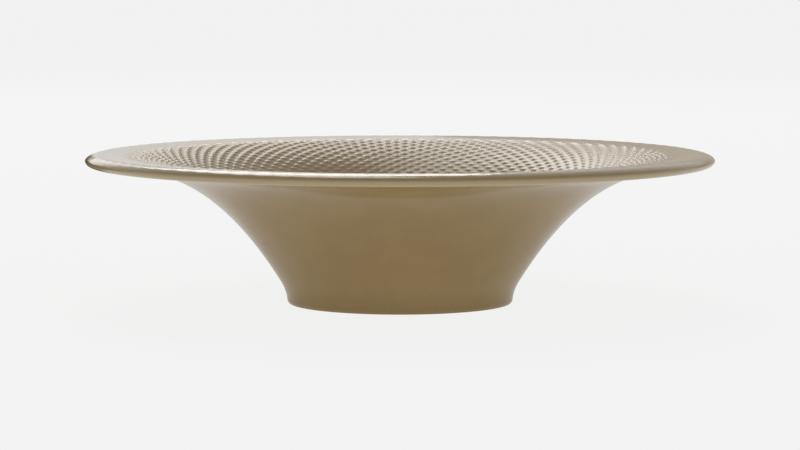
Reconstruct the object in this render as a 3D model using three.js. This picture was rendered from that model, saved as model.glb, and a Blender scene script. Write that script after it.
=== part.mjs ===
// A deep coupe plate of glazed ceramic: a narrow foot, a wall that flares like a trumpet to a wide
// rim with a round lip, and rows of diamond studs on crossing spirals over the flare.
// Millimetres, +Z up, origin on the table under the middle of the plate.
import * as THREE from "three";

// Main sizes
const RIM_DIAMETER = 280;
const HEIGHT = 67.2;
const WALL_THICKNESS = 4.6;
const GLAZE_THICKNESS = 0.5;

// Lip: a half-round nose on the edge of the rim, a little thicker than the wall
const LIP_THICKNESS = 5.2;
const LIP_NOSE = 3.7;

// Flare: the outer wall leaves the neck at a lean from level and arrives level under the lip
const NECK_RADIUS = 53.5;
const NECK_HEIGHT = 10.3;
const WALL_LEAN = THREE.MathUtils.degToRad(58);
const WALL_REACH = 59;
const LIP_REACH = 24.5;
const SWELL_START = 0.7; // share of the wall's run after which it thickens towards the lip

// Well: its flat floor, and the share of the wall's run where the floor's round corner meets it
const FLOOR_HEIGHT = 9.2;
const FLOOR_RADIUS = 34;
const CORNER_TOP = 0.06;

// Foot ring, as glazed outside and in; only the face it stands on is bare clay
const FOOT_RADIUS = 50.5;
const FOOT_TAPER = 0.5;
const FOOT_ROUND = 2.3;
const STANDING_WIDTH = 3;
const RECESS_ROUND = 1.5;
const RECESS_HEIGHT = 4.4;
const RECESS_CORNER = 1.6;
const GLAZE_STOP = THREE.MathUtils.degToRad(48); // how far round the foot's edges the glaze runs

// Studs: diamonds on staggered rows, each row half a diamond further in
const STUDS_PER_ROW = 86;
const STUD_ROWS = 20;
const STUD_HEIGHT = 0.7;
const STUD_SHAPE = 0.62; // a diamond's length towards the well over its width
const BORDER_WIDTH = 21;
const STUD_MARGIN = 4; // smooth glaze left between the studs and the next ring of facets
const FADE_ROWS = 5; // rows over which the studs rise from the border, and sink towards the well

// Facets
const SEGMENTS = 60;
const WALL_STEPS = 7;
const ROUND_STEPS = 3;
const EDGE_STEPS = 2;
const ON_AXIS = 1e-6;
const HALVINGS = 40;

const RIM_RADIUS = RIM_DIAMETER / 2;
const LIP_RADIUS = RIM_RADIUS - LIP_NOSE;
const LIP_MIDDLE = HEIGHT - LIP_THICKNESS / 2;
const RIGHT_ANGLE = Math.PI / 2;

const point = (r, z) => new THREE.Vector2(r, z);

// Outer face of the wall from the neck to the underside of the lip.
const wall = new THREE.CubicBezierCurve(
  point(NECK_RADIUS, NECK_HEIGHT),
  point(NECK_RADIUS + WALL_REACH * Math.cos(WALL_LEAN), NECK_HEIGHT + WALL_REACH * Math.sin(WALL_LEAN)),
  point(LIP_RADIUS - LIP_REACH, HEIGHT - LIP_THICKNESS),
  point(LIP_RADIUS, HEIGHT - LIP_THICKNESS),
);

// A point inside the wall, measured from its outer face towards the bowl.
function inWall(share, depth) {
  const along = wall.getTangent(share);
  return wall.getPoint(share).add(point(-along.y, along.x).multiplyScalar(depth));
}

// The wall's thickness, which swells towards the lip.
function thicknessAt(share) {
  const swell = THREE.MathUtils.smoothstep(share, SWELL_START, 1);
  return THREE.MathUtils.lerp(WALL_THICKNESS, LIP_THICKNESS, swell);
}

// The bowl side of the wall, at a depth under its glazed surface.
const bowlSide = (share, depth) => inWall(share, thicknessAt(share) - depth);

// Equal steps along a stretch, without its first value.
function steps(count, from, to) {
  return Array.from({ length: count }, (_, i) => THREE.MathUtils.lerp(from, to, (i + 1) / count));
}

// Part of an ellipse without its first point; angles turn from +r towards +z.
function arc(centre, radii, from, to, count) {
  return steps(count, from, to).map((a) =>
    point(centre.x + radii.x * Math.cos(a), centre.y + radii.y * Math.sin(a)),
  );
}

// The lip's nose, from its top round to its underside.
function lipArc(depth) {
  const radii = point(LIP_NOSE - depth, LIP_THICKNESS / 2 - depth);
  return arc(point(LIP_RADIUS, LIP_MIDDLE), radii, RIGHT_ANGLE, -RIGHT_ANGLE, 2 * ROUND_STEPS);
}

// The well's floor and its round corner up to the wall, from the middle outwards.
function wellOutline(depth) {
  const level = FLOOR_HEIGHT - depth;
  const top = bowlSide(CORNER_TOP, depth);
  const along = wall.getTangent(CORNER_TOP);
  const meeting = point(top.x - ((top.y - level) * along.x) / along.y, level);
  const edge = point(FLOOR_RADIUS, level);
  const corner = new THREE.QuadraticBezierCurve(edge, meeting, top);
  return [point(0, level), edge, ...corner.getPoints(ROUND_STEPS).slice(1)];
}

// The eating side from the middle of the well over the lip to its underside.
function upperOutline(depth) {
  const flare = steps(WALL_STEPS, CORNER_TOP, 1).map((share) => bowlSide(share, depth));
  return [...wellOutline(depth), ...flare, ...lipArc(depth)];
}

// The outside from the underside of the lip down to where the glaze stops under the foot's edge.
function outerOutline(depth) {
  const flare = steps(WALL_STEPS, 1, 0).map((share) => inWall(share, depth));
  const neck = inWall(0, depth);
  const lean = Math.tan(WALL_LEAN);
  const bend = point(FOOT_RADIUS + FOOT_TAPER - depth, 0);
  bend.y = neck.y - (neck.x - bend.x) * lean;
  const foot = new THREE.QuadraticBezierCurve(neck, bend, point(FOOT_RADIUS - depth, FOOT_ROUND));
  return [
    inWall(1, depth),
    ...flare,
    ...foot.getPoints(ROUND_STEPS).slice(1),
    ...footArc(depth, 0, -GLAZE_STOP),
  ];
}

// The foot's outer edge: the clay has the radius FOOT_ROUND and the glaze lies outside it.
function footArc(depth, from, to) {
  const centre = point(FOOT_RADIUS - GLAZE_THICKNESS - FOOT_ROUND, FOOT_ROUND);
  const radius = FOOT_ROUND + GLAZE_THICKNESS - depth;
  return arc(centre, point(radius, radius), from, to, EDGE_STEPS);
}

// The edge between the standing face and the recess.
const standingInner = FOOT_RADIUS - GLAZE_THICKNESS - FOOT_ROUND - STANDING_WIDTH;
function recessArc(depth, from, to) {
  const radius = RECESS_ROUND + GLAZE_THICKNESS - depth;
  return arc(point(standingInner, RECESS_ROUND), point(radius, radius), from, to, EDGE_STEPS);
}

// The recess from where its glaze starts to the middle.
function recessOutline(depth) {
  const level = RECESS_HEIGHT + depth;
  const side = standingInner - RECESS_ROUND - GLAZE_THICKNESS + depth;
  const start = recessArc(depth, -RIGHT_ANGLE, -2 * RIGHT_ANGLE + GLAZE_STOP).at(-1);
  const corner = new THREE.QuadraticBezierCurve(
    point(side, level - RECESS_CORNER),
    point(side, level),
    point(side - RECESS_CORNER, level),
  );
  return [
    start,
    ...recessArc(depth, -2 * RIGHT_ANGLE + GLAZE_STOP, -2 * RIGHT_ANGLE),
    ...corner.getPoints(EDGE_STEPS),
    point(0, level),
  ];
}

// A ring of points round the axis: one point where it lies on the axis.
function ringOf(outlinePoint) {
  const count = outlinePoint.x < ON_AXIS ? 1 : SEGMENTS;
  return Array.from({ length: count }, (_, i) => turned(outlinePoint, i / count));
}

function turned(outlinePoint, turn) {
  const angle = turn * 2 * Math.PI;
  return new THREE.Vector3(
    outlinePoint.x * Math.cos(angle),
    outlinePoint.x * Math.sin(angle),
    outlinePoint.y,
  );
}

// Triangles between two rings that may have different numbers of points.
function band(a, b) {
  const faces = [];
  const at = (ring, i) => ring[i % ring.length];
  let i = 0;
  let j = 0;
  while (i < a.length || j < b.length) {
    const stepA = j >= b.length || (i < a.length && (i + 1) / a.length < (j + 1) / b.length);
    if (stepA) {
      if (a.length > 1) faces.push([at(a, i), at(b, j), at(a, i + 1)]);
      i += 1;
    } else {
      if (b.length > 1) faces.push([at(a, i), at(b, j), at(b, j + 1)]);
      j += 1;
    }
  }
  return faces;
}

// Triangles between two rows of studs, folded along the grooves between them.
function studBand(a, b, row) {
  const faces = [];
  for (let i = 0; i < a.length; i += 1) {
    const next = (i + 1) % a.length;
    const grooveFromA = (i + row) % 2 === 1;
    if (grooveFromA) faces.push([a[i], b[i], b[next]], [a[i], b[next], a[next]]);
    else faces.push([a[i], b[i], a[next]], [a[next], b[i], b[next]]);
  }
  return faces;
}

// A closed solid from rings in the order of its outline; closed on itself unless it ends on the axis.
function solidOf(rings, bandOf = band) {
  const faces = rings.slice(1).flatMap((ring, i) => bandOf(rings[i], ring));
  if (rings.at(-1).length > 1) faces.push(...bandOf(rings.at(-1), rings[0]));
  const corners = faces.flat().flatMap((corner) => corner.toArray());
  const geometry = new THREE.BufferGeometry();
  geometry.setAttribute("position", new THREE.Float32BufferAttribute(corners, 3));
  geometry.computeVertexNormals();
  return geometry;
}

// Studs: the share of the wall's run where the bowl side has a given radius.
function shareAt(radius) {
  let low = CORNER_TOP;
  let high = 1;
  for (let i = 0; i < HALVINGS; i += 1) {
    const middle = (low + high) / 2;
    if (bowlSide(middle, 0).x < radius) low = middle;
    else high = middle;
  }
  return (low + high) / 2;
}

// One row: studs and the crossings of the grooves take turns, and the next row is half a stud on.
function studRow(row) {
  const shrink = 1 - (STUD_SHAPE * Math.PI) / STUDS_PER_ROW;
  const share = shareAt((RIM_RADIUS - BORDER_WIDTH) * shrink ** row);
  const fromEdge = Math.min(row, STUD_ROWS - 1 - row) + 1;
  const height = STUD_HEIGHT * THREE.MathUtils.smoothstep(fromEdge, 0, FADE_ROWS + 1);
  const groove = bowlSide(share, 0);
  const stud = bowlSide(share, -height);
  const count = 2 * STUDS_PER_ROW;
  return Array.from({ length: count }, (_, i) => turned((i + row) % 2 === 0 ? stud : groove, i / count));
}

function clayBody() {
  const rings = [
    ...upperOutline(GLAZE_THICKNESS),
    ...outerOutline(GLAZE_THICKNESS).slice(1),
    ...footArc(GLAZE_THICKNESS, -GLAZE_STOP, -RIGHT_ANGLE),
    point(standingInner, 0),
    ...recessArc(GLAZE_THICKNESS, -RIGHT_ANGLE, -2 * RIGHT_ANGLE + GLAZE_STOP),
    ...recessOutline(GLAZE_THICKNESS).slice(1),
  ];
  return solidOf(rings.map(ringOf));
}

// Glaze of the eating side: its smooth parts, with the rows of studs between them.
function upperGlaze() {
  const studs = Array.from({ length: STUD_ROWS }, (_, i) => STUD_ROWS - 1 - i);
  const rows = new Map(studs.map((row) => [studRow(row), row]));
  const radii = [...rows.keys()].map((ring) => Math.hypot(ring[0].x, ring[0].y));
  const face = upperOutline(0);
  const rings = [
    ...face.filter((p) => p.x < radii[0] - STUD_MARGIN).map(ringOf),
    ...rows.keys(),
    ...face.filter((p) => p.x > radii.at(-1) + STUD_MARGIN).map(ringOf),
    ...upperOutline(GLAZE_THICKNESS).reverse().map(ringOf),
  ];
  const bandOf = (a, b) => (rows.has(a) && rows.has(b) ? studBand(a, b, rows.get(a)) : band(a, b));
  return solidOf(rings, bandOf);
}

function outerGlaze() {
  const rings = [...outerOutline(0), ...outerOutline(GLAZE_THICKNESS).reverse()];
  return solidOf(rings.map(ringOf));
}

function baseGlaze() {
  const rings = [...recessOutline(GLAZE_THICKNESS).reverse(), ...recessOutline(0)];
  return solidOf(rings.map(ringOf));
}

const clay = new THREE.MeshStandardMaterial({ color: 0xd5c8b4, roughness: 0.85, metalness: 0 });
const glaze = () => new THREE.MeshStandardMaterial({ color: 0x7f6d51, roughness: 0.3, metalness: 0 });

const plate = new THREE.Group();
function add(name, geometry, material) {
  const mesh = new THREE.Mesh(geometry, material);
  mesh.name = name;
  plate.add(mesh);
}

add("clay_body", clayBody(), clay);
add("upper_glaze", upperGlaze(), glaze());
add("outer_glaze", outerGlaze(), glaze());
add("base_glaze", baseGlaze(), glaze());

export default plate;
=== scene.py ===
"""Dresses a deep coupe plate: fired clay under three coats of satin taupe glaze, studs on the flare."""
import logging
import math
from dataclasses import dataclass, field
from enum import Enum
from typing import Any, Mapping, Optional, Sequence, Union

import bpy
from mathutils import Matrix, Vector


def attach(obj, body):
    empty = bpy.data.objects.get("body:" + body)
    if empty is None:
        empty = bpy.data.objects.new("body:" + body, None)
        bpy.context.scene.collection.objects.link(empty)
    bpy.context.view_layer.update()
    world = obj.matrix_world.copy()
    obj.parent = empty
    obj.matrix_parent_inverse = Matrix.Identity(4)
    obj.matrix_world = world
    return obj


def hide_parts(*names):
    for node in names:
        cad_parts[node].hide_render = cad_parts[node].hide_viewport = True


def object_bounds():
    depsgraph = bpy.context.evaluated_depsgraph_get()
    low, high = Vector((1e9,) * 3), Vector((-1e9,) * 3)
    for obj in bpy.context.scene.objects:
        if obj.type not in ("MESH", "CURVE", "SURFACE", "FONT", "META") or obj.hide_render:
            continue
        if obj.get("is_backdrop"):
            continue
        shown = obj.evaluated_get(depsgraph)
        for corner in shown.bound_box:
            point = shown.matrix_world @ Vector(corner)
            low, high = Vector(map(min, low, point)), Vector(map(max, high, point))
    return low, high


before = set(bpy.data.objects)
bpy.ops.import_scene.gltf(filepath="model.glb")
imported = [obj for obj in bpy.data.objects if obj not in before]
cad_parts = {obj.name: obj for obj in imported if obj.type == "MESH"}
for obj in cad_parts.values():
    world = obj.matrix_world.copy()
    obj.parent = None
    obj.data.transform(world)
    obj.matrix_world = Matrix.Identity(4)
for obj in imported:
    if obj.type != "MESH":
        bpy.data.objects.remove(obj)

LOG = logging.getLogger("deep_coupe_plate")
BODY = "root"

Point = tuple[float, float]
Span = tuple[float, float]
Place = tuple[float, float, float]
Colour = tuple[float, float, float]
Term = Union["Wire", float]

RIGHT_ANGLE = math.pi / 2
ON_AXIS = 1e-9
HALVINGS = 40
GRAIN_MIDDLE = 0.5


class Solid(Enum):
    """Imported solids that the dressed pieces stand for."""

    CLAY = "clay_body"
    EATING_SIDE = "upper_glaze"
    OUTSIDE = "outer_glaze"
    RECESS = "base_glaze"


class Slot(Enum):
    """Material slots of the record."""

    GLAZE = "glaze"
    CLAY = "bare_clay"


class Surface(Enum):
    """Whether a glazed surface carries the studs."""

    PLAIN = "plain"
    STUDDED = "studded"


class Mark(Enum):
    """Values kept on the points of the eating side."""

    GLAZED_FACE = "glazed_face"
    RELIEF = "stud_relief"
    ZONE = "stud_zone"


def blend(low: float, high: float, share: float) -> float:
    """Value that lies a share of the way from low to high."""
    return low + (high - low) * share


def ease(value: float, low: float, high: float) -> float:
    """Smooth rise from 0 at low to 1 at high."""
    share = min(max((value - low) / (high - low), 0.0), 1.0)
    return share * share * (3 - 2 * share)


def steps(count: int, first: float, last: float) -> list[float]:
    """Equal steps along a stretch, without its first value."""
    return [blend(first, last, (i + 1) / count) for i in range(count)]


def bezier(controls: Sequence[Point], share: float) -> Point:
    """Point on a Bezier curve.

    Args:
        controls: The curve's control points.
        share: How far along the curve, from 0 to 1.

    Returns:
        The point at that share.
    """
    points = list(controls)
    while len(points) > 1:
        pairs = zip(points, points[1:])
        points = [(blend(a[0], b[0], share), blend(a[1], b[1], share)) for a, b in pairs]
    return points[0]


def arc(centre: Point, radii: Point, angles: Sequence[float]) -> list[Point]:
    """Points of an ellipse at the given angles, which turn from outwards to up."""
    return [(centre[0] + radii[0] * math.cos(a), centre[1] + radii[1] * math.sin(a)) for a in angles]


def added(name: str, data: bpy.types.ID) -> bpy.types.Object:
    """Adds an object to the scene.

    Args:
        name: Name of the object.
        data: Its mesh, lamp or camera.

    Returns:
        The object.
    """
    made = bpy.data.objects.new(name, data)
    bpy.context.scene.collection.objects.link(made)
    return made


@dataclass(frozen=True)
class PlateForm:
    """The plate's outline in metres: radius from the axis, and height over the table.

    Each outline is taken at a depth under the glazed surface, so that the clay and its coats of
    glaze share their faces.
    """

    rim_radius: float
    height: float
    wall_thickness: float = 0.0046
    glaze_thickness: float = 0.0005
    lip_thickness: float = 0.0052
    lip_nose: float = 0.0037
    crest_run: float = 0.0064
    crest_controls: tuple[Point, Point] = ((0.45, 0.04), (0.95, 0.42))
    neck_radius: float = 0.0535
    neck_height: float = 0.0103
    wall_lean: float = math.radians(58)
    wall_reach: float = 0.059
    lip_reach: float = 0.0245
    swell_start: float = 0.7
    floor_height: float = 0.0092
    floor_radius: float = 0.034
    corner_top: float = 0.06
    foot_radius: float = 0.0505
    foot_taper: float = 0.0005
    foot_round: float = 0.0023
    standing_width: float = 0.003
    recess_round: float = 0.0015
    recess_height: float = 0.0044
    recess_corner: float = 0.0016
    glaze_stop: float = math.radians(48)

    @property
    def lip_radius(self) -> float:
        """Radius where the lip's round nose starts."""
        return self.rim_radius - self.lip_nose

    @property
    def crest_radius(self) -> float:
        """Radius of the lip's crest, where it starts to fall outwards."""
        return self.rim_radius - self.crest_run

    @property
    def nose_height(self) -> float:
        """Height of the lip's outermost point."""
        return self.height - self.lip_thickness / 2

    @property
    def standing_outer(self) -> float:
        """Outer radius of the bare ring that the plate stands on."""
        return self.foot_radius - self.glaze_thickness - self.foot_round

    @property
    def standing_inner(self) -> float:
        """Inner radius of the bare ring that the plate stands on."""
        return self.standing_outer - self.standing_width

    def wall_controls(self) -> list[Point]:
        """Control points of the outer wall.

        Returns:
            Points from the neck to the underside of the lip.
        """
        underside = self.height - self.lip_thickness
        leaning = (
            self.neck_radius + self.wall_reach * math.cos(self.wall_lean),
            self.neck_height + self.wall_reach * math.sin(self.wall_lean),
        )
        neck = (self.neck_radius, self.neck_height)
        return [neck, leaning, (self.lip_radius - self.lip_reach, underside), (self.lip_radius, underside)]

    def wall_along(self, share: float) -> Point:
        """Direction of the outer wall.

        Args:
            share: How far up the wall, from 0 to 1.

        Returns:
            A direction of length 1, upwards along the wall.
        """
        controls = self.wall_controls()
        hodograph = [(b[0] - a[0], b[1] - a[1]) for a, b in zip(controls, controls[1:])]
        along = bezier(hodograph, share)
        length = math.hypot(*along)
        return along[0] / length, along[1] / length

    def in_wall(self, share: float, depth: float) -> Point:
        """Point inside the wall.

        Args:
            share: How far up the wall, from 0 to 1.
            depth: Distance from its outer face towards the bowl.

        Returns:
            The point.
        """
        at = bezier(self.wall_controls(), share)
        along = self.wall_along(share)
        return at[0] - along[1] * depth, at[1] + along[0] * depth

    def bowl_side(self, share: float, depth: float) -> Point:
        """Point of the wall's bowl side at a depth under its glazed surface."""
        swell = ease(share, self.swell_start, 1.0)
        return self.in_wall(share, blend(self.wall_thickness, self.lip_thickness, swell) - depth)

    def share_at(self, radius: float) -> float:
        """Finds where the wall's bowl side has a given radius.

        Args:
            radius: Distance from the axis.

        Returns:
            How far up the wall that is, from 0 to 1.
        """
        low, high = self.corner_top, 1.0
        for _ in range(HALVINGS):
            middle = (low + high) / 2
            if self.bowl_side(middle, 0.0)[0] < radius:
                low = middle
            else:
                high = middle
        return (low + high) / 2

    def well(self, depth: float, floor_rings: int, corner_rings: int) -> list[Point]:
        """The well's floor and its round corner, from the middle outwards.

        Args:
            depth: Depth under the glazed surface.
            floor_rings: Steps across the flat floor.
            corner_rings: Steps round the corner.

        Returns:
            Points from the axis to where the corner meets the wall.
        """
        level = self.floor_height - depth
        top = self.bowl_side(self.corner_top, depth)
        along = self.wall_along(self.corner_top)
        meeting = (top[0] - (top[1] - level) * along[0] / along[1], level)
        corner = [(self.floor_radius, level), meeting, top]
        floor = [(radius, level) for radius in steps(floor_rings, 0.0, self.floor_radius)]
        return [(0.0, level)] + floor + [bezier(corner, share) for share in steps(corner_rings, 0.0, 1.0)]

    def lip(self, depth: float, rings: int) -> list[Point]:
        """The lip from its crest over its nose to its underside, without its first point.

        Args:
            depth: Depth under the glazed surface.
            rings: Steps over the crest, and again from the nose down.

        Returns:
            Points from the crest to the lip's underside.
        """
        half = self.lip_thickness / 2 - depth
        middle = self.nose_height
        run = self.crest_run - depth
        controls = [(0.0, 0.0), *self.crest_controls, (1.0, 1.0)]
        placed = [(self.crest_radius + out * run, middle + half * (1 - down)) for out, down in controls]
        crest = [bezier(placed, share) for share in steps(rings, 0.0, 1.0)]
        nose = arc((self.lip_radius, middle), (self.lip_nose - depth, half), steps(rings, 0.0, -RIGHT_ANGLE))
        return crest + nose

    def outside(self, depth: float, wall_rings: int, foot_rings: int, edge_rings: int) -> list[Point]:
        """The outside from the lip's underside to where the glaze stops under the foot's edge.

        Args:
            depth: Depth under the glazed surface.
            wall_rings: Steps down the flared wall.
            foot_rings: Steps down the foot's neck.
            edge_rings: Steps round the foot's edge.

        Returns:
            Points from the lip down to the end of the glaze.
        """
        neck = self.in_wall(0.0, depth)
        bend_radius = self.foot_radius + self.foot_taper - depth
        bend = (bend_radius, neck[1] - (neck[0] - bend_radius) * math.tan(self.wall_lean))
        foot = [neck, bend, (self.foot_radius - depth, self.foot_round)]
        wall = [self.in_wall(share, depth) for share in [1.0] + steps(wall_rings, 1.0, 0.0)]
        turned_in = [bezier(foot, share) for share in steps(foot_rings, 0.0, 1.0)]
        return wall + turned_in + self.foot_edge(depth, steps(edge_rings, 0.0, -self.glaze_stop))

    def foot_edge(self, depth: float, angles: Sequence[float]) -> list[Point]:
        """Points round the foot's outer edge."""
        radius = self.foot_round + self.glaze_thickness - depth
        return arc((self.standing_outer, self.foot_round), (radius, radius), angles)

    def recess_edge(self, depth: float, angles: Sequence[float]) -> list[Point]:
        """Points round the edge between the standing ring and the recess."""
        radius = self.recess_round + self.glaze_thickness - depth
        return arc((self.standing_inner, self.recess_round), (radius, radius), angles)

    def recess(self, depth: float, edge_rings: int, corner_rings: int, flat_rings: int) -> list[Point]:
        """The recess under the plate, from where its glaze starts to the middle.

        Args:
            depth: Depth under the glazed surface.
            edge_rings: Steps from the end of the bare clay to the recess's side.
            corner_rings: Steps round the corner of its ceiling.
            flat_rings: Steps across its ceiling.

        Returns:
            Points from the standing ring to the axis.
        """
        level = self.recess_height + depth
        side = self.standing_inner - self.recess_round - self.glaze_thickness + depth
        start = -2 * RIGHT_ANGLE + self.glaze_stop
        corner = [(side, level - self.recess_corner), (side, level), (side - self.recess_corner, level)]
        edge = self.recess_edge(depth, [start] + steps(edge_rings, start, -2 * RIGHT_ANGLE))
        bend = [bezier(corner, share) for share in [0.0] + steps(corner_rings, 0.0, 1.0)]
        flat = [(radius, level) for radius in steps(flat_rings, corner[-1][0], 0.0)]
        return edge + bend + flat


class Turning:
    """A closed mesh turned from rings of points round the axis."""

    def __init__(self) -> None:
        """Starts with no rings."""
        self.points: list[Place] = []
        self.faces: list[tuple[int, ...]] = []
        self.marks: list[float] = []
        self.rings: list[range] = []

    def ring(self, at: Point, count: int, mark: float = 0.0) -> None:
        """Adds a ring and joins it to the last one.

        Args:
            at: Radius and height of the ring.
            count: Points round it; a ring on the axis has one.
            mark: Value kept on its points.
        """
        number = 1 if at[0] < ON_AXIS else count
        start = len(self.points)
        for i in range(number):
            angle = 2 * math.pi * i / number
            self.points.append((at[0] * math.cos(angle), at[0] * math.sin(angle), at[1]))
        self.marks += [mark] * number
        made = range(start, start + number)
        if self.rings:
            self.join(self.rings[-1], made)
        self.rings.append(made)

    def outline(self, points: Sequence[Point], count: int, mark: float = 0.0) -> None:
        """Adds a ring for each point of an outline."""
        for at in points:
            self.ring(at, count, mark)

    def join(self, first: range, second: range) -> None:
        """Lays faces between two rings.

        Args:
            first: Numbers of the first ring's points.
            second: Numbers of the second ring's points, which may be more or fewer.
        """
        if len(first) == len(second):
            for i in range(len(first)):
                on = (i + 1) % len(first)
                self.faces.append((first[i], second[i], second[on], first[on]))
            return
        i = j = 0
        while i < len(first) or j < len(second):
            a, b = first[i % len(first)], second[j % len(second)]
            if j >= len(second) or (i < len(first) and (i + 1) * len(second) < (j + 1) * len(first)):
                i += 1
                corner = first[i % len(first)]
            else:
                j += 1
                corner = second[j % len(second)]
            if corner not in (a, b):
                self.faces.append((a, b, corner))

    def mesh(self, name: str) -> bpy.types.Mesh:
        """Closes the outline on itself where it doesn't end on the axis, and makes the mesh.

        Args:
            name: Name of the mesh.

        Returns:
            A closed mesh with its faces outwards.
        """
        if len(self.rings[-1]) > 1:
            self.join(self.rings[-1], self.rings[0])
        made = bpy.data.meshes.new(name)
        made.from_pydata(self.points, [], self.faces)
        marks = made.attributes.new(Mark.GLAZED_FACE.value, "FLOAT", "POINT")
        marks.data.foreach_set("value", self.marks)
        made.update()
        return made


class Wire:
    """A node's output that takes part in Python sums by adding Math nodes."""

    def __init__(self, board: "Board", socket: bpy.types.NodeSocket) -> None:
        """Keeps the output and the board that its sums are laid on."""
        self.board = board
        self.socket = socket

    def __add__(self, other: Term) -> "Wire":
        """Sum."""
        return self.board.math("ADD", self, other)

    def __radd__(self, other: Term) -> "Wire":
        """Sum with a number on the left."""
        return self.board.math("ADD", other, self)

    def __sub__(self, other: Term) -> "Wire":
        """Difference."""
        return self.board.math("SUBTRACT", self, other)

    def __rsub__(self, other: Term) -> "Wire":
        """Difference from a number."""
        return self.board.math("SUBTRACT", other, self)

    def __mul__(self, other: Term) -> "Wire":
        """Product."""
        return self.board.math("MULTIPLY", self, other)

    def __rmul__(self, other: Term) -> "Wire":
        """Product with a number on the left."""
        return self.board.math("MULTIPLY", other, self)

    def __truediv__(self, other: Term) -> "Wire":
        """Quotient."""
        return self.board.math("DIVIDE", self, other)

    def __rtruediv__(self, other: Term) -> "Wire":
        """Quotient of a number."""
        return self.board.math("DIVIDE", other, self)

    def __pow__(self, other: Term) -> "Wire":
        """Power."""
        return self.board.math("POWER", self, other)

    def __abs__(self) -> "Wire":
        """Size without its sign."""
        return self.board.math("ABSOLUTE", self)


class Board:
    """Lays nodes in one tree and links them."""

    def __init__(self, tree: bpy.types.NodeTree) -> None:
        """Keeps the tree."""
        self.tree = tree

    @classmethod
    def of_material(cls, name: str) -> tuple[bpy.types.Material, "Board"]:
        """Makes an empty material.

        Args:
            name: Name of the material.

        Returns:
            The material, and the board of its nodes.
        """
        made = bpy.data.materials.new(name)
        made.use_nodes = True
        made.node_tree.nodes.clear()
        return made, cls(made.node_tree)

    def node(
        self,
        kind: str,
        settings: Optional[Mapping[str, Any]] = None,
        sockets: Optional[Mapping[str, Any]] = None,
    ) -> bpy.types.Node:
        """Adds a node.

        Args:
            kind: Type of the node.
            settings: Its properties, set first.
            sockets: Values or wires for its inputs, by their identifiers.

        Returns:
            The node.
        """
        made = self.tree.nodes.new(kind)
        for name, value in (settings or {}).items():
            setattr(made, name, value)
        inputs = {socket.identifier: socket for socket in made.inputs}
        for name, value in (sockets or {}).items():
            if isinstance(value, Wire):
                self.tree.links.new(value.socket, inputs[name])
            else:
                inputs[name].default_value = value
        return made

    def wire(self, node: bpy.types.Node, output: str) -> Wire:
        """Output of a node by its identifier."""
        return Wire(self, next(socket for socket in node.outputs if socket.identifier == output))

    def math(self, operation: str, *terms: Term) -> Wire:
        """Result of a Math node on its terms."""
        sockets = dict(zip(("Value", "Value_001", "Value_002"), terms))
        return self.wire(self.node("ShaderNodeMath", {"operation": operation}, sockets), "Value")

    def ease(self, value: Wire, low: Term, high: Term) -> Wire:
        """Smooth rise of a value.

        Args:
            value: The value.
            low: Where the rise starts from 0.
            high: Where it reaches 1.

        Returns:
            The rise, from 0 to 1.
        """
        sockets = {"Value": value, "From Min": low, "From Max": high}
        settings = {"interpolation_type": "SMOOTHSTEP"}
        return self.wire(self.node("ShaderNodeMapRange", settings, sockets), "Result")

    def tint(self, share: Term, low: Union[Wire, Colour], high: Union[Wire, Colour]) -> Wire:
        """Colour between two others.

        Args:
            share: How far it lies from the first to the second, from 0 to 1.
            low: First colour.
            high: Second colour.

        Returns:
            The colour.
        """
        ends = [end if isinstance(end, Wire) else (*end, 1.0) for end in (low, high)]
        sockets = {"Factor_Float": share, "A_Color": ends[0], "B_Color": ends[1]}
        return self.wire(self.node("ShaderNodeMix", {"data_type": "RGBA"}, sockets), "Result_Color")

    def grain(self, place: Wire, size: float, detail: float = 2.0) -> Wire:
        """Noise with grains of about a given size in metres."""
        sockets = {"Vector": place, "Scale": 1.0 / size, "Detail": detail}
        return self.wire(self.node("ShaderNodeTexNoise", None, sockets), "Fac")

    def kept(self, mark: Mark) -> Wire:
        """Value kept on the points of the piece that a material is on."""
        return self.wire(self.node("ShaderNodeAttribute", {"attribute_name": mark.value}), "Fac")

    def coat(self, colour: Wire, roughness: Term, height: Wire, depth: float) -> None:
        """Ends a material in a surface with a fine relief.

        Args:
            colour: Its colour.
            roughness: Its roughness.
            height: Its relief, from 0 to 1.
            depth: Depth of that relief in metres.
        """
        bump = self.node("ShaderNodeBump", None, {"Distance": depth, "Height": height})
        sockets = {"Base Color": colour, "Roughness": roughness, "Normal": self.wire(bump, "Normal")}
        shader = self.node("ShaderNodeBsdfPrincipled", None, sockets)
        self.node("ShaderNodeOutputMaterial", None, {"Surface": self.wire(shader, "BSDF")})

    def split(self, vector: Wire) -> tuple[Wire, Wire, Wire]:
        """The three parts of a vector."""
        parts = self.node("ShaderNodeSeparateXYZ", None, {"Vector": vector})
        return self.wire(parts, "X"), self.wire(parts, "Y"), self.wire(parts, "Z")


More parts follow.
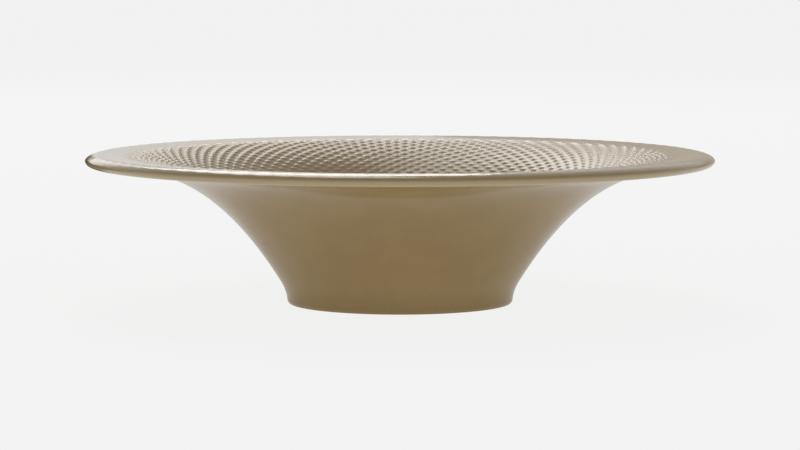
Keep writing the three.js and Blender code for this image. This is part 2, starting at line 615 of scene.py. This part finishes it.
@dataclass(frozen=True)
class Glaze:
    """Satin taupe glaze: darker where it pools between the studs and towards the foot's bottom edge, paler
    on the studs, and paler on the lip's lower side, partly glaze breaking thin at the edge and partly
    painted light from the table below.
    """

    body: Colour = (0.26, 0.173, 0.064)
    cloud: Colour = (0.275, 0.185, 0.071)
    # Darker glaze: where it pools between the studs, and towards the foot's bottom edge.
    dark_glaze: Colour = (0.205, 0.13, 0.043)
    thinned: Colour = (0.37, 0.28, 0.155)
    # Paler lip underside: partly glaze breaking thin at the edge, partly painted light from the bright table
    # below.
    edge: Colour = (0.405, 0.317, 0.181)
    speck: Colour = (0.12, 0.075, 0.035)
    roughness: float = 0.16
    stud_roughness: float = 0.18
    roughness_spread: float = 0.06
    cloud_size: float = 0.018
    cloud_span: Span = (0.35, 0.65)
    speck_size: float = 0.0011
    speck_span: Span = (0.26, 0.33)
    speck_strength: float = 0.35
    ripple_size: float = 0.0026
    ripple_detail: float = 3.0
    ripple_depth: float = 0.00001
    pooling: float = 0.55
    thinning: float = 0.3
    # Darkening towards the foot's bottom edge, within foot_line of the table.
    foot_darkening: float = 0.6
    foot_line: float = 0.0024
    edge_and_painted_light_run: Span = (0.0045, 0.0025)
    edge_and_painted_light_fade: float = 0.0007

    def material(self, name: str, form: PlateForm, surface: Surface) -> bpy.types.Material:
        """Makes the glaze as a material.

        Args:
            name: Name of the material.
            form: The plate's outline, for the place of the lip.
            surface: Whether the studs' relief tints it.

        Returns:
            The material.
        """
        made, board = Board.of_material(name)
        place = board.wire(board.node("ShaderNodeTexCoord"), "Object")
        x, y, z = board.split(place)
        ripple = board.grain(place, self.ripple_size, self.ripple_detail)
        roughness = self.roughness + self.roughness_spread * (ripple - GRAIN_MIDDLE)
        clouds = board.ease(board.grain(place, self.cloud_size), *self.cloud_span)
        colour = board.tint(clouds, self.body, self.cloud)
        radius = board.math("SQRT", x * x + y * y)
        # Paints the lip's lower side paler: partly glaze breaking thin at the edge, partly painted light
        # from the bright table below.
        out = board.ease(radius, *(form.rim_radius - run for run in self.edge_and_painted_light_run))
        above = board.ease(z, form.nose_height - self.edge_and_painted_light_fade, form.nose_height + self.edge_and_painted_light_fade)
        colour = board.tint(out * (1 - above), colour, self.edge)
        if surface is Surface.STUDDED:
            relief = board.kept(Mark.RELIEF)
            zone = board.kept(Mark.ZONE)
            colour = board.tint((zone - relief) * self.pooling, colour, self.dark_glaze)
            colour = board.tint(relief * self.thinning, colour, self.thinned)
            roughness = roughness + self.stud_roughness * zone
        else:
            # Darker towards the foot's bottom edge, where it meets the table.
            over_foot = board.ease(z, 0.0, self.foot_line)
            colour = board.tint((1 - over_foot) * self.foot_darkening, colour, self.dark_glaze)
        specks = 1 - board.ease(board.grain(place, self.speck_size), *self.speck_span)
        colour = board.tint(specks * self.speck_strength, colour, self.speck)
        board.coat(colour, roughness, ripple, self.ripple_depth)
        return made


@dataclass(frozen=True)
class FiredClay:
    """Bare fired clay: pale buff, matt, with a fine grain and a few dark grains."""

    body: Colour = (0.66, 0.58, 0.46)
    shade: Colour = (0.56, 0.47, 0.35)
    grog: Colour = (0.30, 0.22, 0.14)
    roughness: float = 0.82
    cloud_size: float = 0.009
    cloud_span: Span = (0.3, 0.7)
    grain_size: float = 0.0007
    grain_detail: float = 4.0
    grain_depth: float = 0.00008
    grog_span: Span = (0.3, 0.4)
    grog_strength: float = 0.6

    def material(self, name: str) -> bpy.types.Material:
        """Makes the clay as a material.

        Args:
            name: Name of the material.

        Returns:
            The material.
        """
        made, board = Board.of_material(name)
        place = board.wire(board.node("ShaderNodeTexCoord"), "Object")
        clouds = board.ease(board.grain(place, self.cloud_size), *self.cloud_span)
        colour = board.tint(clouds, self.body, self.shade)
        grain = board.grain(place, self.grain_size, self.grain_detail)
        grog = 1 - board.ease(grain, *self.grog_span)
        colour = board.tint(grog * self.grog_strength, colour, self.grog)
        board.coat(colour, self.roughness, grain, self.grain_depth)
        return made


@dataclass(frozen=True)
class Studs:
    """Rule of the diamond studs, which lie on two crossing sets of spirals.

    Rows are counted inwards from the border; each is half a stud on and a little smaller.
    """

    per_row: int = 86
    shape: float = 0.565
    border_width: float = 0.0213
    height: float = 0.00075
    softness: float = 2.5
    rise_from: float = -2.7
    rise_to: float = 1.8
    sink_from: float = 2.0
    sink_to: float = 24.0
    lip_wave: float = 0.0001
    turn: float = 0.253

    @property
    def shrink(self) -> float:
        """Radius of a row over the radius of the row outside it."""
        return 1 - self.shape * math.pi / self.per_row

    def row_radius(self, border: float, row: float) -> float:
        """Radius of a row, which may be a fraction of one."""
        return border * self.shrink**row

    def sizes(self, border: float) -> dict[str, float]:
        """Named sizes of the relief.

        Args:
            border: Radius where the rows start.

        Returns:
            Values for the relief's inputs by their names.
        """
        return {
            "Studs per row": float(self.per_row),
            "Border radius": border,
            "Row shrink": -math.log(self.shrink),
            "Stud height": self.height,
            "Softness": self.softness,
            "Rise from row": self.rise_from,
            "Rise to row": self.rise_to,
            "Sink from row": self.sink_from,
            "Sink to row": self.sink_to,
            "Lip wave": self.lip_wave,
            "Turn": self.turn,
        }

    def relief(self, board: Board, size: Mapping[str, Wire]) -> tuple[Wire, Wire, Wire]:
        """Lays the sums of the relief.

        Args:
            board: Board of the relief's nodes.
            size: The relief's inputs by their names.

        Returns:
            A point's lift, its share of a stud's height, and its share of the studded zone.
        """
        x, y, _ = board.split(board.wire(board.node("GeometryNodeInputPosition"), "Position"))
        radius = board.math("SQRT", x * x + y * y)
        around = board.math("ARCTAN2", y, x) * size["Studs per row"] / (2 * math.pi) + size["Turn"]
        row = board.math("LOGARITHM", size["Border radius"] / radius, math.e) / size["Row shrink"]
        left = abs(board.math("COSINE", (around + row / 2) * math.pi))
        right = abs(board.math("COSINE", (around - row / 2) * math.pi))
        stud = (left * right) ** size["Softness"]
        rise = board.ease(row, size["Rise from row"], size["Rise to row"])
        sink = 1 - board.ease(row, size["Sink from row"], size["Sink to row"])
        settings = {"data_type": "FLOAT"}
        named = board.node("GeometryNodeInputNamedAttribute", settings, {"Name": Mark.GLAZED_FACE.value})
        face = board.wire(named, "Attribute")
        lift = (size["Lip wave"] + (size["Stud height"] - size["Lip wave"]) * rise) * sink * stud
        return lift * face, stud * rise * sink * face, rise * sink * face

    def tree(self, border: float, material: bpy.types.Material) -> bpy.types.NodeTree:
        """Builds the geometry nodes that raise the studs.

        Args:
            border: Radius where the rows start.
            material: Glaze of the studded face.

        Returns:
            The node tree, with a named input for each size.
        """
        tree = bpy.data.node_groups.new("raise_studs", "GeometryNodeTree")
        tree.interface.new_socket("Geometry", in_out="INPUT", socket_type="NodeSocketGeometry")
        for name in self.sizes(border):
            tree.interface.new_socket(name, in_out="INPUT", socket_type="NodeSocketFloat")
        tree.interface.new_socket("Geometry", in_out="OUTPUT", socket_type="NodeSocketGeometry")
        board = Board(tree)
        group = board.node("NodeGroupInput")
        size = {socket.name: Wire(board, socket) for socket in group.outputs if socket.name}
        lift, relief, zone = self.relief(board, size)
        normal = board.wire(board.node("GeometryNodeInputNormal"), "Normal")
        sockets = {"Vector": normal, "Scale": lift}
        offset = board.node("ShaderNodeVectorMath", {"operation": "SCALE"}, sockets)
        shape = size["Geometry"]
        for mark, value in ((Mark.RELIEF, relief), (Mark.ZONE, zone)):
            settings = {"data_type": "FLOAT", "domain": "POINT"}
            sockets = {"Geometry": shape, "Name": mark.value, "Value": value}
            shape = board.wire(board.node("GeometryNodeStoreNamedAttribute", settings, sockets), "Geometry")
        sockets = {"Geometry": shape, "Offset": board.wire(offset, "Vector")}
        shape = board.wire(board.node("GeometryNodeSetPosition", None, sockets), "Geometry")
        shape = board.wire(board.node("GeometryNodeRealizeInstances", None, {"Geometry": shape}), "Geometry")
        sockets = {"Geometry": shape, "Material": material}
        shape = board.wire(board.node("GeometryNodeSetMaterial", None, sockets), "Geometry")
        output = board.node("NodeGroupOutput")
        tree.links.new(shape.socket, output.inputs[0])
        return tree

    def raise_on(self, piece: bpy.types.Object, border: float, material: bpy.types.Material) -> None:
        """Raises the studs on a piece and leaves it a plain mesh.

        Args:
            piece: Smooth piece with its glazed face marked.
            border: Radius where the rows start.
            material: Glaze of the studded face.
        """
        modifier = piece.modifiers.new("studs", "NODES")
        modifier.node_group = self.tree(border, material)
        sizes = self.sizes(border)
        for item in modifier.node_group.interface.items_tree:
            if item.in_out == "INPUT" and item.name in sizes:
                modifier[item.identifier] = sizes[item.name]
        graph = bpy.context.evaluated_depsgraph_get()
        shaped = bpy.data.meshes.new_from_object(piece.evaluated_get(graph), depsgraph=graph)
        piece.modifiers.clear()
        piece.data = shaped


@dataclass
class PlatePiece:
    """One piece of the plate, turned on the common form."""

    form: PlateForm
    crease: float = field(default=math.radians(50), kw_only=True)

    def place(self, name: str, mesh: bpy.types.Mesh, material: bpy.types.Material) -> bpy.types.Object:
        """Adds a piece to the scene with smooth faces.

        Args:
            name: Name of the piece.
            mesh: Its closed mesh.
            material: Its finish.

        Returns:
            The piece.
        """
        mesh.materials.append(material)
        mesh.shade_smooth()
        return added(name, mesh)

    def settle(self, piece: bpy.types.Object, solid: Solid, slot: Slot) -> None:
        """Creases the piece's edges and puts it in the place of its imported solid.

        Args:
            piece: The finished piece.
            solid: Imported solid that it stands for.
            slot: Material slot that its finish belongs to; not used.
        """
        piece.data.set_sharp_from_angle(angle=self.crease)
        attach(piece, BODY)
        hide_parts(solid.value)
        LOG.info("%s: %d faces, stands for %s", piece.name, len(piece.data.polygons), solid.value)


@dataclass
class GlazedEatingSide(PlatePiece):
    """Coat of the eating side: well, studded flare, plain border, and the lip round to its underside."""

    glaze: Glaze
    studs: Studs
    points_per_stud: int = 8
    rings_per_row: int = 4
    smooth_points: int = 172
    floor_rings: int = 5
    corner_rings: int = 12
    lower_wall_rings: int = 8
    first_row: float = -3.0
    last_row: float = 20.5
    border_rings: int = 4
    lip_rings: int = 10
    hidden_rings: int = 16

    @property
    def border(self) -> float:
        """Radius where the rows of studs start."""
        return self.form.rim_radius - self.studs.border_width

    def smooth(self) -> bpy.types.Mesh:
        """The coat before its studs are raised.

        Returns:
            A closed mesh whose eating side is marked.
        """
        form = self.form
        fine = self.studs.per_row * self.points_per_stud
        inmost = form.share_at(self.studs.row_radius(self.border, self.last_row))
        outmost = form.share_at(self.studs.row_radius(self.border, self.first_row))
        row_steps = round((self.last_row - self.first_row) * self.rings_per_row)
        turning = Turning()
        turning.outline(form.well(0.0, self.floor_rings, self.corner_rings), self.smooth_points, 1.0)
        lower = steps(self.lower_wall_rings, form.corner_top, inmost)[:-1]
        turning.outline([form.bowl_side(share, 0.0) for share in lower], self.smooth_points, 1.0)
        for row in [self.last_row] + steps(row_steps, self.last_row, self.first_row):
            share = form.share_at(self.studs.row_radius(self.border, row))
            turning.ring(form.bowl_side(share, 0.0), fine, 1.0)
        crest = form.share_at(form.crest_radius)
        upper = steps(self.border_rings, outmost, crest)
        turning.outline([form.bowl_side(share, 0.0) for share in upper], fine, 1.0)
        for at in form.lip(0.0, self.lip_rings):
            above_tip = (at[1] - form.height) / (form.lip_thickness / 2) + 1
            turning.ring(at, fine, max(0.0, above_tip))
        under = form.glaze_thickness
        flare = steps(self.hidden_rings, form.corner_top, crest)
        hidden = form.well(under, 1, self.corner_rings)
        hidden += [form.bowl_side(share, under) for share in flare] + form.lip(under, self.lip_rings)
        turning.outline(hidden[::-1], self.smooth_points)
        return turning.mesh("eating_side_glaze")

    def build(self) -> None:
        """Makes the coat, raises its studs and settles it."""
        material = self.glaze.material("studded_taupe_glaze", self.form, Surface.STUDDED)
        piece = self.place("eating_side_glaze", self.smooth(), material)
        self.studs.raise_on(piece, self.border, material)
        self.settle(piece, Solid.EATING_SIDE, Slot.GLAZE)


@dataclass
class GlazedOutside(PlatePiece):
    """Coat of the outside: the flared wall, the foot's neck and the foot's edge."""

    glaze: Glaze
    points: int = 344
    hidden_points: int = 172
    wall_rings: int = 44
    foot_rings: int = 12
    edge_rings: int = 8

    def build(self) -> None:
        """Makes the coat and settles it."""
        rings = (self.wall_rings, self.foot_rings, self.edge_rings)
        turning = Turning()
        turning.outline(self.form.outside(0.0, *rings), self.points)
        hidden = self.form.outside(self.form.glaze_thickness, *rings)
        turning.outline(hidden[::-1], self.hidden_points)
        material = self.glaze.material("plain_taupe_glaze", self.form, Surface.PLAIN)
        piece = self.place("outside_glaze", turning.mesh("outside_glaze"), material)
        self.settle(piece, Solid.OUTSIDE, Slot.GLAZE)


@dataclass
class GlazedRecess(PlatePiece):
    """Coat of the recess inside the foot ring."""

    glaze: Glaze
    points: int = 172
    edge_rings: int = 6
    corner_rings: int = 8
    flat_rings: int = 6

    def build(self) -> None:
        """Makes the coat and settles it."""
        rings = (self.edge_rings, self.corner_rings, self.flat_rings)
        turning = Turning()
        turning.outline(self.form.recess(self.form.glaze_thickness, *rings)[::-1], self.points)
        turning.outline(self.form.recess(0.0, *rings), self.points)
        material = self.glaze.material("recess_taupe_glaze", self.form, Surface.PLAIN)
        piece = self.place("recess_glaze", turning.mesh("recess_glaze"), material)
        self.settle(piece, Solid.RECESS, Slot.GLAZE)


@dataclass
class ClayBody(PlatePiece):
    """The fired clay under the glaze, bare on the ring that it stands on."""

    clay: FiredClay
    points: int = 172
    wall_rings: int = 30
    lip_rings: int = 8
    round_rings: int = 8

    def build(self) -> None:
        """Makes the body and settles it."""
        form = self.form
        under = form.glaze_thickness
        turning = Turning()
        outline = form.well(under, 1, self.round_rings)
        crest = form.share_at(form.crest_radius)
        outline += [form.bowl_side(share, under) for share in steps(self.wall_rings, form.corner_top, crest)]
        outline += form.lip(under, self.lip_rings)
        outline += form.outside(under, self.wall_rings, self.round_rings, self.round_rings)[1:]
        outline += form.foot_edge(under, steps(self.round_rings, -form.glaze_stop, -RIGHT_ANGLE))
        recess_start = -2 * RIGHT_ANGLE + form.glaze_stop
        turn = [-RIGHT_ANGLE] + steps(self.round_rings, -RIGHT_ANGLE, recess_start)
        outline += form.recess_edge(under, turn)
        outline += form.recess(under, self.round_rings, self.round_rings, 1)[1:]
        turning.outline(outline, self.points)
        material = self.clay.material("bare_fired_clay")
        piece = self.place("fired_clay", turning.mesh("fired_clay"), material)
        self.settle(piece, Solid.CLAY, Slot.CLAY)


@dataclass(frozen=True)
class SoftBox:
    """A rectangle of soft light that faces the plate."""

    name: str
    azimuth: float
    elevation: float
    distance: float
    width: float
    length: float
    power: float
    colour: Colour = (1.0, 0.985, 0.95)

    def hang(self, aim: Place) -> None:
        """Hangs the lamp.

        Args:
            aim: Point that it faces. Its azimuth runs rightwards from straight behind that point.
        """
        flat = self.distance * math.cos(self.elevation)
        up = self.distance * math.sin(self.elevation)
        place = Vector(aim) + Vector((flat * math.sin(self.azimuth), flat * math.cos(self.azimuth), up))
        data = bpy.data.lights.new(self.name, "AREA")
        data.shape = "RECTANGLE"
        data.size = self.width
        data.size_y = self.length
        data.energy = self.power
        data.color = self.colour
        lamp = added(self.name, data)
        lamp.location = place
        lamp.rotation_euler = (Vector(aim) - place).to_track_quat("-Z", "Y").to_euler()
        lamp.visible_camera = False


@dataclass(frozen=True)
class Card:
    """An upright card behind the plate, pale or dark, which shows only as a reflection."""

    name: str
    first: Point
    last: Point
    heights: Span
    shade: float
    colour: Colour = (1.0, 0.985, 0.95)

    def stand(self) -> None:
        """Stands the card between its two ends."""
        low, high = self.heights
        corners = [(*self.first, low), (*self.last, low), (*self.last, high), (*self.first, high)]
        mesh = bpy.data.meshes.new(self.name)
        mesh.from_pydata(corners, [], [(0, 1, 2, 3)])
        card = added(self.name, mesh)
        material, board = Board.of_material(self.name)
        sockets = {"Color": (*self.colour, 1.0), "Strength": self.shade}
        paint = board.node("ShaderNodeEmission", None, sockets)
        board.node("ShaderNodeOutputMaterial", None, {"Surface": board.wire(paint, "Emission")})
        mesh.materials.append(material)
        card.visible_camera = False
        card.visible_diffuse = False
        card.visible_shadow = False
        card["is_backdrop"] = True


@dataclass
class Studio:
    """Pale table, white surroundings, soft light and the camera of the photograph."""

    table_radius: float = 14.0
    table_sides: int = 64
    table_colour: float = 0.8
    white: float = 0.93
    table_glow: float = 0.92
    mirrored_glow: float = 0.5
    room: Colour = (0.45, 0.44, 0.425)
    boxes: tuple[SoftBox, ...] = (
        SoftBox(
            name="low_box",
            azimuth=math.radians(-7.1),
            elevation=math.radians(34),
            distance=2.4,
            width=0.9,
            length=0.93,
            power=9.2,
        ),
        SoftBox(
            name="high_box",
            azimuth=math.radians(-14.5),
            elevation=math.radians(59),
            distance=2.4,
            width=0.69,
            length=1.38,
            power=9.9,
        ),
    )
    cards: tuple[Card, ...] = (
        Card(name="pale_card", first=(-0.22, 1.5), last=(0.05, 1.5), heights=(0.386, 0.735), shade=1.4),
        Card(name="left_card", first=(-1.0, 1.5), last=(-0.35, 1.5), heights=(0.17, 0.8), shade=1.7),
        Card(
            name="grey_card",
            first=(0.03, 1.1),
            last=(0.8, 0.6),
            heights=(0.0, 0.3),
            shade=0.6,
            colour=(1.0, 0.92, 0.8),
        ),
        Card(name="dark_card", first=(-0.155, 0.13), last=(-0.36, 0.02), heights=(0.0, 0.088), shade=0.03),
    )
    focal_length: float = 140.8
    eye: Place = (0.0, -1.3943, 0.15586)
    aim: Place = (0.0, 0.0, 0.03486)

    def build(self) -> None:
        """Sets the table, the light and the camera."""
        bpy.context.scene.view_settings.view_transform = "Standard"
        self.table()
        self.surroundings()
        for box in self.boxes:
            box.hang(self.aim)
        for card in self.cards:
            card.stand()
        self.camera()

    def table(self) -> None:
        """Lays the white table, which glows softly and keeps a soft shadow."""
        turning = Turning()
        turning.outline([(0.0, 0.0), (self.table_radius, 0.0)], self.table_sides)
        mesh = bpy.data.meshes.new("table")
        mesh.from_pydata(turning.points, [], turning.faces)
        material, board = Board.of_material("white_table")
        share = self.table_glow + (self.mirrored_glow - self.table_glow) * self.mirrored(board)
        grey = (self.table_colour, self.table_colour, self.table_colour, 1.0)
        matt = board.node("ShaderNodeBsdfDiffuse", None, {"Color": grey})
        glow = board.node("ShaderNodeEmission", None, {"Strength": self.white})
        shaders = {"Shader": board.wire(matt, "BSDF"), "Shader_001": board.wire(glow, "Emission")}
        mixed = board.node("ShaderNodeMixShader", None, {"Fac": share, **shaders})
        board.node("ShaderNodeOutputMaterial", None, {"Surface": board.wire(mixed, "Shader")})
        mesh.materials.append(material)
        added("table", mesh)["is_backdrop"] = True

    def mirrored(self, board: Board) -> Wire:
        """Whether light reaches the eye by way of a glossy or clear surface.

        Args:
            board: Board that asks.

        Returns:
            1 or 0.
        """
        path = board.node("ShaderNodeLightPath")
        glossy, clear = board.wire(path, "Is Glossy Ray"), board.wire(path, "Is Transmission Ray")
        return board.math("MAXIMUM", glossy, clear)

    def surroundings(self) -> None:
        """Lights the room evenly, and shows it white to the camera and in reflections."""
        world = bpy.data.worlds.new("studio")
        bpy.context.scene.world = world
        world.use_nodes = True
        world.node_tree.nodes.clear()
        board = Board(world.node_tree)
        direct = board.wire(board.node("ShaderNodeLightPath"), "Is Camera Ray")
        seen = board.math("MAXIMUM", direct, self.mirrored(board))
        colour = board.tint(seen, self.room, (self.white, self.white, self.white))
        light = board.node("ShaderNodeBackground", None, {"Color": colour})
        board.node("ShaderNodeOutputWorld", None, {"Surface": board.wire(light, "Background")})

    def camera(self) -> None:
        """Stands the camera where the photograph was taken."""
        data = bpy.data.cameras.new("camera")
        data.lens = self.focal_length
        camera = added("camera", data)
        camera.location = self.eye
        camera.rotation_euler = (Vector(self.aim) - Vector(self.eye)).to_track_quat("-Z", "Y").to_euler()
        bpy.context.scene.camera = camera


def main() -> None:
    """Builds the plate's pieces and the studio."""
    logging.basicConfig(level=logging.INFO, format="%(name)s: %(message)s")
    cad_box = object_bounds()
    low, high = cad_box
    form = PlateForm(rim_radius=(high.x - low.x) / 2, height=high.z - low.z)
    glaze = Glaze()
    pieces = (
        ClayBody(form, FiredClay()),
        GlazedOutside(form, glaze),
        GlazedRecess(form, glaze),
        GlazedEatingSide(form, glaze, Studs()),
    )
    for piece in pieces:
        piece.build()
    Studio().build()


if __name__ == "__main__":
    main()
